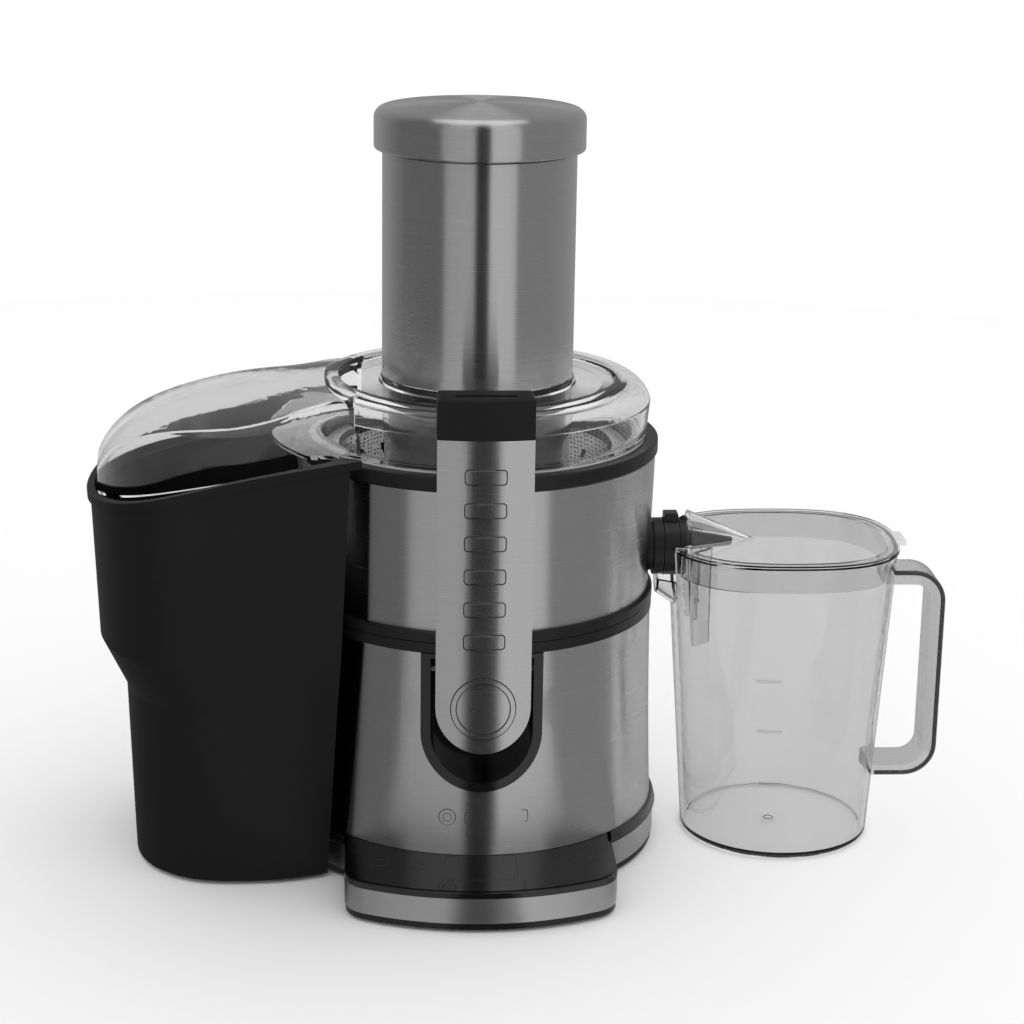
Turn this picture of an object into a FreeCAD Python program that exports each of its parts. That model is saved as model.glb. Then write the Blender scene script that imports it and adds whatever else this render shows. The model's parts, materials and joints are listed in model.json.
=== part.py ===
import FreeCAD, Part
import math
import os

# Centrifugal juicer.  Millimetres, +Z up, the drive axis is the Z axis, z = 0 is the table top.
# The locking arm faces -Y, the pulp bin stands at -X and the juice jug at +X.

V = FreeCAD.Vector
ORIGIN = V(0, 0, 0)
UP = V(0, 0, 1)
RIGHT = V(1, 0, 0)
BACK = V(0, 1, 0)

# Driving dimensions
GAP = 0.3                 # air between two neighbouring surfaces
SKIN = 0.7                # sheet steel of the sleeves
WALL = 2.4                # moulded plastic wall

# Base
BASE_R = 91.0             # plan radius of the round base at the table
CONSOLE_R = 126.0         # front arc of the control console
CONSOLE_HALF = 64.0       # half the console's width
CONSOLE_CORNER = 16.0
TUB_Z0, TUB_Z1 = 1.5, 4.5
STRIP_Z1 = 17.0           # top of the steel strip round the base
SLEEVE_Z0, SLEEVE_Z1 = 22.6, 121.4
SLEEVE_R0, SLEEVE_RM, SLEEVE_R1 = 89.1, 87.3, 86.5
SPLIT_Z = 126.5           # joint line between motor base and bowl
GLAND_R, GLAND_Z = 5.0, 10.9
SCREW_R, SCREW_HEAD_R = 2.0, 4.0
MOTOR_SCREW_R = 48.0      # pitch radius of the motor's long screws
FOOT_RING_R0, FOOT_RING_R1 = 66.0, 74.0
VENT_R0, VENT_R1 = 30.0, 50.0
BOSS_R, BOSS_Z1 = 5.0, 36.0

# Bowl and basket
BOWL_R0, BOWL_R1 = 85.0, 86.9
BOWL_Z0, BOWL_Z1 = 131.9, 199.1
BOWL_TOP = 206.5
BOWL_RIM_R = 88.0
SPOUT_Z = 148.0
SPOUT_R = 14.0
DISC_Z = 151.1            # underside of the grater disc
BASKET_R0, BASKET_R1 = 47.2, 69.0
BASKET_TOP = 196.0

# Lid, chute and pusher
CHUTE_R = 42.5            # inside of the feed chute
CHUTE_WALL = 2.5
JACKET_R = 46.0
JACKET_Z0, JACKET_Z1 = 236.0, 343.0
LID_FOOT_Z = 207.4
LID_TOP_Z = 235.2
LID_WALL = 2.4
CAP_R = 50.0
CAP_Z0, CAP_Z1 = 343.5, 365.5

# Locking arm
ARM_HALF = 22.0
ARM_R0, ARM_R1 = 90.0, 97.4
ARM_Z0, ARM_Z1 = 77.5, 227.0
HOOK_Z1 = 246.0
HOOK_Y = -79.0
PIVOT_Y, PIVOT_Z = -79.0, 113.0
PIN_R = 2.0
RECESS_HALF = 24.0
RECESS_Z0 = 59.0
RECESS_DEPTH_Y = -70.0

# Motor
SHAFT_R = 4.0
RUN_GAP = 0.05            # running clearance of the shaft in its bearings
STACK_Z0, STACK_Z1 = 52.0, 88.0
ROTOR_R = 22.5
STATOR_R = 40.0

# Pulp bin
BIN_WALL = 2.2
BIN_INNER_R = 95.2        # concave wall that hugs the base
BIN_FLOOR_Z = 2.0
BIN_SADDLE_Z = 170.0      # top of the concave wall, below the hood
BIN_LIP, BIN_LIP_HIGH = 1.5, 4.0
HOOD_HALF = 61.0
HOOD_CORNER = 0.28        # shoulder radius as a share of the hood's half width
HOOD_DROP_Z = 160.0

# Jug
JUG_X, JUG_R = 153.5, 47.0
JUG_RIM_Z = 150.0
JUG_RIM_X, JUG_RIM_A, JUG_RIM_B = 151.8, 56.2, 49.0
JUG_WALL = 2.2
NOTCH_HALF = 15.5         # slot in the jug's wall for the spout
NOTCH_Z = 132.6
HANDLE_X = 233.5
HANDLE_Z0, HANDLE_Z1 = 29.5, 137.5
HANDLE_T = 7.0
HANDLE_HALF = 10.0
HANDLE_CORNER = 16.0
ARC_SHARE = 1.0 - math.sqrt(0.5)   # how far a quarter arc's middle stays inside its corner


# ---------------------------------------------------------------- helpers

def side(r, z):
    return V(r, 0, z)


def plan(x, y):
    return V(x, y, 0)


def wire_of(place, start, *steps):
    """Closed wire.  A step is a point for a straight run, or (middle, end) for an arc."""
    edges = []
    here = start
    for step in steps:
        if isinstance(step[0], tuple):
            middle, end = step
            edges.append(Part.Arc(place(*here), place(*middle), place(*end)).toShape())
        else:
            end = step
            edges.append(Part.LineSegment(place(*here), place(*end)).toShape())
        here = end
    if here != start:
        edges.append(Part.LineSegment(place(*here), place(*start)).toShape())
    return Part.Wire(edges)


def turned(start, *steps):
    """Solid of revolution about the drive axis from an outline in radius and height."""
    return Part.Face(wire_of(side, start, *steps)).revolve(ORIGIN, UP, 360)


def ring(r_in, r_out, z0, z1):
    outer = Part.makeCylinder(r_out, z1 - z0, V(0, 0, z0))
    return outer.cut(Part.makeCylinder(r_in, z1 - z0, V(0, 0, z0)))


def disc(radius, z0, z1, x=0.0, y=0.0):
    return Part.makeCylinder(radius, z1 - z0, V(x, y, z0))


def box(x0, x1, y0, y1, z0, z1):
    return Part.makeBox(x1 - x0, y1 - y0, z1 - z0, V(x0, y0, z0))


def around(shape, count, first=0.0):
    """Copies of a shape spaced evenly about the drive axis."""
    copies = []
    for i in range(count):
        copy = shape.copy()
        copy.rotate(ORIGIN, UP, first + 360.0 * i / count)
        copies.append(copy)
    return copies


def mirrored(shape):
    """The shape and its mirror image across the XZ plane, as one list."""
    return [shape, shape.mirror(ORIGIN, BACK)]


def fused(first, *others):
    return first.fuse(list(others)).removeSplitter()


def export(name, shape):
    shape.exportStep("parts/" + name + ".step")


# ---------------------------------------------------------------- base

def console_block(inset, z0, z1):
    """Plan of the console: a slice of a disc in front of the round base, its corners rounded."""
    half = CONSOLE_HALF - inset
    slab = box(-half, half, -CONSOLE_R - 1, -60.0, z0, z1)
    block = disc(CONSOLE_R - inset, z0, z1).common(slab)
    corners = []
    for edge in block.Edges:
        a = edge.Vertexes[0].Point
        b = edge.Vertexes[-1].Point
        if abs(a.z - b.z) > 0.5 * (z1 - z0) and a.y < -90.0:
            corners.append(edge)
    return block.makeFillet(CONSOLE_CORNER - inset, corners)


def footprint(inset, z0, z1):
    return fused(disc(BASE_R - inset, z0, z1), console_block(inset, z0, z1))


def sleeve_wall(out, inn, z0=SLEEVE_Z0, z1=SLEEVE_Z1):
    """Strip of revolution that follows the flared lower body between two radial offsets."""
    zm = 0.5 * (SLEEVE_Z0 + SLEEVE_Z1)
    return turned(
        (SLEEVE_R1 + inn, z1),
        (SLEEVE_R1 + out, z1),
        ((SLEEVE_RM + out, zm), (SLEEVE_R0 + out, z0)),
        (SLEEVE_R0 + inn, z0),
        ((SLEEVE_RM + inn, zm), (SLEEVE_R1 + inn, z1)),
    )


def slot(half, bottom, top, y0, y1):
    """Prism along Y with a round lower end."""
    centre = bottom + half
    arch = Part.makeCylinder(half, y1 - y0, V(0, y0, centre), BACK)
    return fused(arch, box(-half, half, y0, y1, centre, top))


def rubber_feet():
    pads = [ring(FOOT_RING_R0, FOOT_RING_R1, 0.0, TUB_Z0)]
    for x in (-40.0, 40.0):
        pads.append(disc(7.0, 0.0, TUB_Z0, x, -101.0))
    return Part.makeCompound(pads)


def screw_places():
    return [(x, y) for x in (-56.0, 56.0) for y in (-20.0, 50.0)]


def base_tub():
    """Bottom cover: a plate with a locating wall, cooling slots and screw holes."""
    tub = fused(footprint(0.4, TUB_Z0, TUB_Z1), ring(84.0, 86.0, TUB_Z1, 15.0))
    vent = box(VENT_R0, VENT_R1, -1.6, 1.6, TUB_Z0 - 1, TUB_Z1 + 1)
    tub = tub.cut(around(vent, 16)).cut(gland_hole())
    for x, y in screw_places():
        tub = tub.cut(disc(SCREW_R + 0.2, TUB_Z0 - 1, TUB_Z1 + 1, x, y))
        tub = tub.cut(disc(SCREW_HEAD_R + 0.3, TUB_Z0 - 1, TUB_Z0 + 2.1, x, y))
    return tub


def base_screws():
    screws = []
    for x, y in screw_places():
        head = disc(SCREW_HEAD_R, TUB_Z0 + 0.1, TUB_Z0 + 2.0, x, y)
        screws.append(fused(head, disc(SCREW_R, TUB_Z0 + 1.0, 30.0, x, y)))
    return Part.makeCompound(screws)


def base_steel_strip():
    band = footprint(0.0, TUB_Z1 + 0.1, STRIP_Z1).cut(footprint(0.8, TUB_Z1, STRIP_Z1 + 1))
    return band.cut(gland_hole())


def gland_hole():
    return Part.makeCylinder(GLAND_R + 0.2, 30.0, V(0, 75.0, GLAND_Z), BACK)


def base_housing():
    """Inner housing: drum, deck under the bowl, shaft hub and screw bosses."""
    drum = ring(87.0, 90.0, TUB_Z1 + 0.1, STRIP_Z1)
    neck = ring(85.0, 88.1, STRIP_Z1 - 1.5, SLEEVE_Z0 + 1.0)
    wall = sleeve_wall(-SKIN - GAP, -SKIN - GAP - 2.6)
    crown = ring(80.0, 87.0, SLEEVE_Z1 + 0.1, SPLIT_Z)
    deck = ring(10.0, 82.0, SPLIT_Z - 3.6, SPLIT_Z)
    hub = ring(10.0, 12.4, SPLIT_Z - 3.6, 130.0)
    link = ring(82.6, 85.4, SLEEVE_Z1 - 1.0, SLEEVE_Z1 + 1.0)
    body = fused(drum, neck, wall, crown, deck, hub, link)
    body = body.cut(slot(RECESS_HALF + 2.3, RECESS_Z0 - 2.3, SLEEVE_Z1, -95.0, -60.0))
    body = body.cut(gland_hole())
    bosses = []
    for x, y in screw_places():
        post = disc(BOSS_R, TUB_Z1 + 0.1, BOSS_Z1, x, y)
        post = post.cut(disc(SCREW_R + RUN_GAP, 0.0, BOSS_Z1 - 4.0, x, y))
        edge = math.copysign(86.0, x)
        reach = math.copysign(3.0, x)
        rib = box(min(x + reach, edge), max(x + reach, edge), y - 1.2, y + 1.2, 18.0, BOSS_Z1)
        bosses.append(fused(post, rib.common(disc(86.0, 10.0, 60.0))))
    post = disc(BOSS_R, 117.1, SPLIT_Z - 3.0, MOTOR_SCREW_R).cut(
        disc(SCREW_R + RUN_GAP, 100.0, 120.5, MOTOR_SCREW_R))
    return fused(body, *bosses, *around(post, 4, 45.0))


def skirt_ring():
    """Glossy trim with two ridges between the steel strip and the sleeve."""
    trim = turned(
        (88.4, 17.1), (91.2, 17.1), ((91.9, 18.3), (91.0, 19.5)),
        ((91.3, 20.9), (90.2, 22.3)), (88.4, 22.3),
    )
    return trim.cut(console_block(-0.3, 10.0, 30.0))


def lower_steel_sleeve():
    sleeve = sleeve_wall(0.0, -SKIN)
    return sleeve.cut(slot(RECESS_HALF + 2.3, RECESS_Z0 - 2.3, SLEEVE_Z1 + 1, -95.0, -60.0))


def latch_recess():
    """Bucket let into the front of the base, with a bezel over the sleeve's edge."""
    outer = RECESS_HALF + 2.0
    flange = sleeve_wall(1.3, 0.1).common(slot(28.5, RECESS_Z0 - 4.5, SLEEVE_Z1, -95.0, -60.0))
    full = turned(
        (0.0, SLEEVE_Z1 - 0.2), (SLEEVE_R1 + 0.6, SLEEVE_Z1 - 0.2),
        ((SLEEVE_RM + 0.6, 72.0), (SLEEVE_R0 + 0.6, SLEEVE_Z0)), (0.0, SLEEVE_Z0),
    )
    bucket = full.common(slot(outer, RECESS_Z0 - 2.0, SLEEVE_Z1 - 0.2, -95.0, RECESS_DEPTH_Y))
    pocket = slot(RECESS_HALF, RECESS_Z0, SLEEVE_Z1 - 2.0, -95.0, RECESS_DEPTH_Y - 2.0)
    pin = Part.makeCylinder(PIN_R + 0.02, 60.0, V(-30.0, PIVOT_Y, PIVOT_Z), RIGHT)
    return fused(flange, bucket).cut(pocket).cut(pin)


def console_housing():
    """Console frame: side walls behind the steel strip and the lip above it."""
    wall = console_block(0.9, TUB_Z1 + 0.1, STRIP_Z1 + 0.5)
    lip = console_block(0.0, STRIP_Z1 + 0.1, 19.8)
    frame = fused(wall, lip)
    frame = frame.cut(console_block(3.2, TUB_Z1, STRIP_Z1 - 1.0))
    frame = frame.cut(console_block(5.0, TUB_Z1, 30.0))
    frame = frame.cut(console_block(1.6, STRIP_Z1 + 0.9, 30.0))
    return frame.cut(disc(92.3, 0.0, 40.0))


def control_panel():
    """Sloping glossy touch panel."""
    plate = turned((89.6, 20.7), (124.6, 18.2), (124.6, 20.2), (89.6, 22.5))
    return plate.common(console_block(1.8, 10.0, 30.0))


def control_board():
    board = console_block(7.0, 12.6, 14.2).cut(disc(95.0, 0.0, 40.0))
    chips = []
    for i in range(7):
        angle = math.radians(-90.0 + 8.0 * (i - 3))
        x = 110.0 * math.cos(angle)
        y = 110.0 * math.sin(angle)
        chips.append(box(x - 3, x + 3, y - 3, y + 3, 14.2, 16.0))
    return fused(board, *chips)


def cord_gland():
    """Inlet for the mains lead in the back of the base."""
    tube = Part.makeCylinder(GLAND_R, 14.0, V(0, 80.0, GLAND_Z), BACK)
    flange = Part.makeCylinder(GLAND_R + 1.1, 3.4, V(0, 80.0, GLAND_Z), BACK)
    tip = Part.makeCone(GLAND_R, GLAND_R - 0.8, 4.0, V(0, 94.0, GLAND_Z), BACK)
    bore = Part.makeCylinder(3.5, 40.0, V(0, 70.0, GLAND_Z), BACK)
    return fused(tube, flange, tip).cut(bore)


# ---------------------------------------------------------------- motor

def motor_bracket(z0, z1, cup_z0, cup_z1):
    """Spider with a bearing cup and four arms."""
    cup = ring(11.1, 14.0, cup_z0, cup_z1)
    arm = box(12.5, 54.0, -5.0, 5.0, z0, z1)
    shape = fused(cup, *around(arm, 4, 45.0))
    holes = around(disc(SCREW_R + 0.2, z0 - 1, z1 + 1, MOTOR_SCREW_R), 4, 45.0)
    return shape.cut(holes)


def motor_screws():
    head = disc(SCREW_HEAD_R, 21.0, 23.9, MOTOR_SCREW_R)
    screw = fused(head, disc(SCREW_R, 23.0, 119.0, MOTOR_SCREW_R))
    return Part.makeCompound(around(screw, 4, 45.0))


def motor_stator():
    """Laminated ring with two flats and four ears on the long screws."""
    core = ring(ROTOR_R + 0.8, STATOR_R, STACK_Z0, STACK_Z1)
    flats = [box(-60, 60, 36.0, 60, 40, 100), box(-60, 60, -60, -36.0, 40, 100)]
    bridge = box(38.0, MOTOR_SCREW_R, -5.0, 5.0, STACK_Z0, STACK_Z1)
    ear = fused(bridge, disc(5.0, STACK_Z0, STACK_Z1, MOTOR_SCREW_R))
    ear = ear.cut(disc(SCREW_R + 0.2, 40.0, 100.0, MOTOR_SCREW_R))
    return fused(core.cut(flats), *around(ear, 4, 45.0))


def field_coils():
    coils = []
    for z0, z1 in ((STACK_Z0 - 4.2, STACK_Z0 - 0.1), (STACK_Z1 + 0.1, STACK_Z1 + 7.0)):
        bundle = ring(25.5, 35.5, z0, z1).cut(box(-60, 60, -7.0, 7.0, 0, 200))
        coils.extend(bundle.Solids)
    return Part.makeCompound(coils)


def bearing(z0, z1):
    return ring(SHAFT_R + RUN_GAP, 11.0, z0, z1)


def brush_holders():
    holder = box(14.0, 30.0, -5.0, 5.0, 99.0, 109.0).cut(box(10.0, 40.0, -3.1, 3.1, 100.9, 107.1))
    holder = fused(holder, box(20.0, 28.0, -4.0, 4.0, 109.0, 113.0))
    return Part.makeCompound(around(holder, 2, 45.0))


def carbon_brushes():
    brush = box(11.6, 24.0, -3.0, 3.0, 101.0, 107.0)
    return Part.makeCompound(around(brush, 2, 45.0))


def shaft_seal():
    return turned(
        (SHAFT_R + 0.08, 124.0), (9.8, 122.9), (9.8, 128.4), (5.4, 128.4), (SHAFT_R + 0.08, 126.0),
    )


def safety_switch():
    case = box(-10.0, 10.0, RECESS_DEPTH_Y, RECESS_DEPTH_Y + 7.0, 96.0, 108.0)
    lever = box(-7.0, 7.0, RECESS_DEPTH_Y + 7.0, RECESS_DEPTH_Y + 8.0, 94.0, 108.0)
    return fused(case, lever)


def motor_shaft():
    return fused(disc(SHAFT_R, 25.0, 142.0), disc(3.2, 142.0, 146.5))


def rotor_core():
    core = ring(SHAFT_R + 0.02, ROTOR_R, STACK_Z0, STACK_Z1)
    groove = box(19.0, 30.0, -1.2, 1.2, 40.0, 100.0)
    return core.cut(around(groove, 12))


def rotor_windings():
    low = ring(8.0, 19.0, STACK_Z0 - 4.0, STACK_Z0 - 0.05)
    high = ring(8.0, 19.0, STACK_Z1 + 0.05, STACK_Z1 + 6.0)
    return Part.makeCompound([low, high])


def commutator():
    drum = ring(SHAFT_R + 0.02, 11.3, 97.5, 110.0)
    groove = box(10.4, 14.0, -0.3, 0.3, 90.0, 120.0)
    return drum.cut(around(groove, 16))


def cooling_fan():
    hub = ring(SHAFT_R + 0.02, 10.0, 36.0, 46.5)
    plate = ring(9.0, 33.0, 36.0, 37.6)
    blade = box(9.0, 32.5, -0.8, 0.8, 37.0, 46.0)
    blade.rotate(V(9.0, 0, 0), UP, 18.0)
    return fused(hub, plate, *around(blade, 9))


def drive_coupling():
    """Six-lobed dog that carries the basket."""
    drum = ring(SHAFT_R + 0.02, 8.2, 131.0, 142.0)
    lobe = disc(2.2, 131.0, 142.0, 7.8)
    return fused(drum, *around(lobe, 6)).cut(disc(SHAFT_R + 0.02, 120.0, 150.0))


# ---------------------------------------------------------------- bowl and basket

def juice_bowl():
    wall_bottom = BOWL_R0 - SKIN - GAP
    wall_top = BOWL_R1 - SKIN - GAP
    bowl = turned(
        (13.2, 131.0), (13.2, 146.0), (15.2, 146.0), (15.2, 136.5), (81.2, 134.0),
        (wall_top - WALL, 197.0), (78.0, 199.6), (78.0, BOWL_TOP), (86.8, BOWL_TOP),
        ((87.7, 206.1), (BOWL_RIM_R, 205.2)), (BOWL_RIM_R, 200.2), (87.2, BOWL_Z1 + 0.2),
        (wall_top, BOWL_Z1 + 0.2), (wall_bottom, BOWL_Z0 - 0.1), (86.6, BOWL_Z0 - 0.1),
        (87.2, 131.2), (87.2, SPLIT_Z + 0.4), (84.2, SPLIT_Z + 0.4), (84.2, 131.0),
    )
    return bowl.cut(Part.makeCylinder(12.1, 30.0, V(70.0, 0, SPOUT_Z), RIGHT))


def upper_steel_band():
    band = turned(
        (BOWL_R0 - SKIN, BOWL_Z0), (BOWL_R0, BOWL_Z0),
        (BOWL_R1, BOWL_Z1), (BOWL_R1 - SKIN, BOWL_Z1),
    )
    return band.cut(Part.makeCylinder(12.4, 30.0, V(70.0, 0, SPOUT_Z), RIGHT))


def spout_tube(steps):
    """Turned solid about the spout's own axis, from (distance along X, radius) points."""
    profile = Part.Face(wire_of(lambda x, r: V(x, 0, SPOUT_Z + r), *steps))
    return profile.revolve(V(0, 0, SPOUT_Z), RIGHT, 360)


def spout():
    """Juice outlet: sleeve through the bowl wall, collar and a tapered nozzle."""
    body = spout_tube((
        (80.5, 0.0), (80.5, 12.0), (87.2, 12.0), (87.2, SPOUT_R), (92.0, SPOUT_R),
        (92.0, 12.3), (100.0, 12.3), (100.0, SPOUT_R), (103.2, SPOUT_R), (104.0, 13.2), (104.0, 0.0),
    ))
    nozzle = Part.makeCone(6.2, 2.9, 24.0, V(102.5, 0, 150.2), V(1, 0, -0.03))
    nub = Part.makeSphere(2.0, V(102.6, 0, SPOUT_Z + 13.6))
    bore = spout_tube(((80.0, 0.0), (80.0, 9.6), (98.0, 9.6), (102.0, 4.4), (102.0, 0.0)))
    tip = Part.makeCone(4.6, 1.7, 28.0, V(100.5, 0, 150.2), V(1, 0, -0.03))
    return fused(body, nozzle, nub).cut(bore).cut(tip)


def drip_stop():
    """Ring that turns on the spout to close it, with a thumb lug on top."""
    turn_ring = spout_tube(((92.3, 12.4), (92.3, 14.3), (99.7, 14.3), (99.7, 12.4)))
    lug = box(92.5, 99.5, -4.0, 4.0, SPOUT_Z + 13.4, SPOUT_Z + 17.5)
    top = [e for e in lug.Edges if e.BoundBox.ZMin > SPOUT_Z + 17.4]
    return fused(turn_ring, lug.makeFillet(1.0, top))


def basket_hub():
    return turned(
        (3.3, 143.2), (7.0, 143.2), (7.0, 148.0), (17.2, 148.0), (17.2, 139.0), (19.2, 139.0),
        (19.2, 147.0), (48.0, 148.0), (49.4, 149.4), (49.4, 151.0), (3.3, 151.0),
    )


def filter_basket():
    slope = (BASKET_R1 - BASKET_R0) / (BASKET_TOP - DISC_Z)
    cone = turned(
        (BASKET_R0, DISC_Z), (BASKET_R0 + 0.8, DISC_Z),
        (BASKET_R1 + 0.8, BASKET_TOP), (BASKET_R1, BASKET_TOP),
    )
    window = box(44.0, 80.0, -1.6, 1.6, 158.0, 166.0)
    cuts = []
    for row in range(3):
        copy = window.copy()
        copy.translate(V(slope * 11.0 * row, 0, 11.0 * row))
        cuts.extend(around(copy, 24, 7.5 * (row % 2)))
    return cone.cut(cuts)


def basket_rim():
    return turned(
        (66.0, BASKET_TOP + 0.1), (70.6, BASKET_TOP + 0.1), (74.0, 198.6),
        (74.0, 200.2), (73.0, 201.2), (66.0, 201.2),
    )


def grater_disc():
    plate = ring(3.3, 46.6, DISC_Z, DISC_Z + 1.2)
    tooth = Part.makeWedge(-1.0, 0, -0.6, 0, -0.6, 1.0, 1.6, 0.6, 0, 0.6)
    teeth = []
    for i in range(5):
        copy = tooth.copy()
        copy.rotate(ORIGIN, RIGHT, 90)
        copy.translate(V(12.0 + 7.0 * i, 0, DISC_Z + 1.1))
        teeth.extend(around(copy, 12, 11.0 * i))
    return fused(plate, *teeth)


# ---------------------------------------------------------------- lid, chute, pusher

def lid_outside(grow, z_top):
    """Outer form of the round lid, grown outwards by a clearance."""
    return turned(
        (0.0, 200.0), (0.0, z_top), (67.6, LID_TOP_Z + grow),
        ((77.8 + 0.7 * grow, 232.6 + 0.7 * grow), (83.7 + grow, 224.6)),
        (82.0 + grow, 206.6), (82.0 + grow, 200.0),
    )


def hood_section(x, half, shoulder, crown, inset):
    """Upright section of the hood: straight sides, rounded shoulders and a shallow crown arc."""
    corner = HOOD_CORNER * half
    rise = max(crown - shoulder + 0.6 * corner, 1.2 * corner)
    centre_y, centre_z = half - corner, crown - rise
    crown_r = (centre_y ** 2 + rise ** 2 - corner ** 2) / (2.0 * (rise - corner)) - inset
    corner = corner - inset
    lean = math.atan2(centre_y, centre_z - (crown - inset - crown_r))
    bend = 0.5 * (lean + 0.5 * math.pi)
    join = (centre_y + corner * math.sin(lean), centre_z + corner * math.cos(lean))
    middle = (centre_y + corner * math.sin(bend), centre_z + corner * math.cos(bend))
    edge = half - inset
    return wire_of(
        lambda y, z: V(x, y, z),
        (-edge, HOOD_DROP_Z), (-edge, centre_z), ((-middle[0], middle[1]), (-join[0], join[1])),
        ((0.0, crown - inset), join), (middle, (edge, centre_z)), (edge, HOOD_DROP_Z),
    )


HOOD_STATIONS = (
    (-58.0, HOOD_HALF, 229.0, 235.2),
    (-88.0, HOOD_HALF, 221.5, 234.8),
    (-115.0, HOOD_HALF + 0.5, 216.0, 233.0),
    (-140.0, 56.0, 213.0, 227.0),
    (-160.0, 46.0, 208.5, 219.5),
    (-174.0, 31.0, 201.5, 210.0),
    (-182.0, 15.0, 191.0, 198.0),
)


def hood_solid(inset):
    """Arched pulp hood, lofted through its stations and blunt at its outer end."""
    wires = []
    for x, half, shoulder, crown in HOOD_STATIONS:
        wires.append(hood_section(x + 0.9 * inset, half, shoulder, crown, inset))
    return Part.makeLoft(wires, True, False)


def above_rim(offset):
    """Everything above the sloping rim of the pulp bin, moved up by an offset."""
    outline = wire_of(
        side, (-230.0, 260.0), (-230.0, 167.0 + offset),
        ((-138.0, 197.0 + offset), (-40.0, 213.0 + offset)), (-40.0, 260.0),
    )
    face = Part.Face(outline)
    face.translate(V(0, -120.0, 0))
    return face.extrude(V(0, 240.0, 0))


def lid():
    """Clear lid with the feed chute, the pulp hood and the ledge that throws pulp into the bin."""
    round_part = turned(
        (CHUTE_R, 157.5), (CHUTE_R, 342.4), (CHUTE_R + CHUTE_WALL, 342.4), (CHUTE_R + CHUTE_WALL, 232.3),
        (60.0, 231.8), (65.6, 232.2), (67.0, LID_TOP_Z), (68.0, LID_TOP_Z),
        ((77.8, 232.6), (83.7, 224.6)), (82.0, LID_FOOT_Z), (77.6, LID_FOOT_Z), (77.6, 200.6),
        (75.6, 200.6), (75.6, 209.4), (79.6, 209.4), (81.2, 223.8), ((75.6, 230.0), (66.0, 230.4)),
        (60.0, 229.4), (CHUTE_R + CHUTE_WALL, 229.4), (CHUTE_R + CHUTE_WALL, 157.5),
    )
    hood = hood_solid(0.0).common(above_rim(-5.0))
    hood = hood.cut(disc(BOWL_RIM_R + 0.5, 150.0, LID_FOOT_Z)).cut(disc(68.0, 150.0, 250.0))
    inner = hood_solid(LID_WALL)
    round_open = round_part.cut(inner.common(box(-200.0, -50.0, -80.0, 80.0, 209.4, 250.0)))
    hollow = hood.cut(inner.cut(disc(66.0, 150.0, 250.0)))
    ledge = ring(81.0, 99.5, LID_FOOT_Z, LID_FOOT_Z + 2.0).common(
        box(-120.0, -50.0, -HOOD_HALF + 1.0, HOOD_HALF - 1.0, 200.0, 215.0))
    return fused(round_open, hollow, ledge)


def lid_gasket():
    return ring(78.1, 81.6, BOWL_TOP, LID_FOOT_Z)


def chute_jacket():
    return turned(
        (JACKET_R - SKIN, JACKET_Z0), (JACKET_R, JACKET_Z0), (JACKET_R, JACKET_Z1 - 0.5),
        ((JACKET_R - 0.2, JACKET_Z1 - 0.1), (JACKET_R - SKIN, JACKET_Z1)),
    )


def chute_collar():
    return turned((45.2, 232.6), (47.6, 232.4), (46.3, JACKET_Z0 - 0.1), (45.2, JACKET_Z0 - 0.1))


def pusher_body():
    """Hollow plunger, closed at the bottom, with a rib ring inside its mouth."""
    return turned(
        (0.0, 161.0), (39.8, 161.0), (41.8, 163.0), (41.8, 350.0), (39.4, 350.0), (39.4, 165.0), (0.0, 164.0),
    )


def pusher_collar():
    return ring(41.9, 48.6, CAP_Z0, CAP_Z0 + 2.2)


def pusher_cap():
    """Spun steel cap with a low dome and rounded shoulders."""
    return turned(
        (0.0, CAP_Z1), (6.0, CAP_Z1), ((26.0, CAP_Z1 - 0.6), (45.0, CAP_Z1 - 2.4)),
        ((48.7, CAP_Z1 - 4.2), (CAP_R, CAP_Z1 - 8.0)),
        (CAP_R, CAP_Z0 + 1.6), ((49.7, CAP_Z0 + 0.5), (48.9, CAP_Z0)),
        (48.7, CAP_Z0 + 0.2), (48.7, CAP_Z1 - 9.0),
        ((47.6, CAP_Z1 - 5.2), (44.4, CAP_Z1 - 3.8)), ((26.0, CAP_Z1 - 2.0), (6.0, CAP_Z1 - 1.4)),
        (0.0, CAP_Z1 - 1.4),
    )


# ---------------------------------------------------------------- locking arm

def arm_blank(half, r_in, r_out, z0, z1):
    """Curved strap with a round lower end."""
    return ring(r_in, r_out, z0 - 1, z1).common(slot(half, z0, z1, -110.0, -60.0))


def arm_core():
    strap = arm_blank(ARM_HALF - 0.6, ARM_R0, ARM_R1, ARM_Z0 + 0.6, ARM_Z1 - 0.3)
    eye = Part.makeCylinder(5.4, 6.0, V(12.0, PIVOT_Y, PIVOT_Z), RIGHT)
    web = box(12.0, 18.0, -92.0, PIVOT_Y, PIVOT_Z - 5.4, PIVOT_Z + 5.4)
    lug = fused(eye, web)
    lugs = [lug, lug.mirror(ORIGIN, RIGHT)]
    pin = Part.makeCylinder(PIN_R + RUN_GAP, 60.0, V(-30.0, PIVOT_Y, PIVOT_Z), RIGHT)
    return fused(strap, *lugs).cut(pin)


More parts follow.
